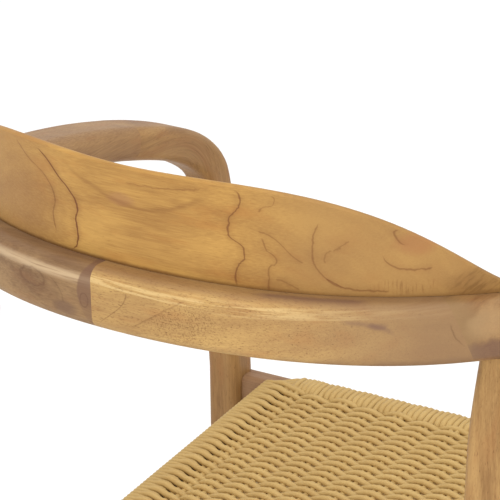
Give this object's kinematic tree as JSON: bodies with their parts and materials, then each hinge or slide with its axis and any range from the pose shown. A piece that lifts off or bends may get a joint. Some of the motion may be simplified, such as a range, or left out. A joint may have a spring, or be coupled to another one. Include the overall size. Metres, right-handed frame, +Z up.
{
  "type": "dining armchair",
  "caption": "Wooden armchair with a curved back rail running on as arms into the front legs, a leaf-shaped back plate and a woven cord seat.",
  "frame": {"origin": "on the floor, under the middle of the chair's outer box", "axes": "+Z up, the sitter faces -Y and has +X to the left"},
  "size_m": [0.58, 0.504, 0.8132],
  "materials": {
    "rail_wood": "sanded teak, matt oiled",
    "leg_wood": "sanded teak, matt oiled",
    "plate_wood": "sanded teak, matt oiled",
    "frame_wood": "sanded teak, matt",
    "cord": "smooth round cord",
    "dowel_wood": "plain",
    "tack_steel": "plain",
    "glide_plastic": "matt"
  },
  "bodies": {
    "root": {"back_rail_left": "rail_wood", "back_rail_right": "rail_wood", "arm_left": "rail_wood", "arm_right": "rail_wood", "front_leg_left": "leg_wood", "front_leg_right": "leg_wood", "rear_leg_left": "leg_wood", "rear_leg_right": "leg_wood", "back_plate": "plate_wood", "seat_rail_front": "frame_wood", "seat_rail_rear": "frame_wood", "seat_rail_left": "frame_wood", "seat_rail_right": "frame_wood", "cord_wrap_front": "cord", "cord_wrap_rear": "cord", "cord_wrap_left": "cord", "cord_wrap_right": "cord", "woven_seat_sheet": "cord", "bow_seam_dowels": "dowel_wood", "bow_corner_dowels": "dowel_wood", "arm_dowels": "dowel_wood", "plate_dowels": "dowel_wood", "front_rail_dowels": "dowel_wood", "rear_rail_dowels": "dowel_wood", "side_rail_dowels": "dowel_wood", "cord_tacks": "tack_steel", "glide_front_left": "glide_plastic", "glide_front_right": "glide_plastic", "glide_rear_left": "glide_plastic", "glide_rear_right": "glide_plastic", "glide_nails": "tack_steel"}
  },
  "joints": []
}
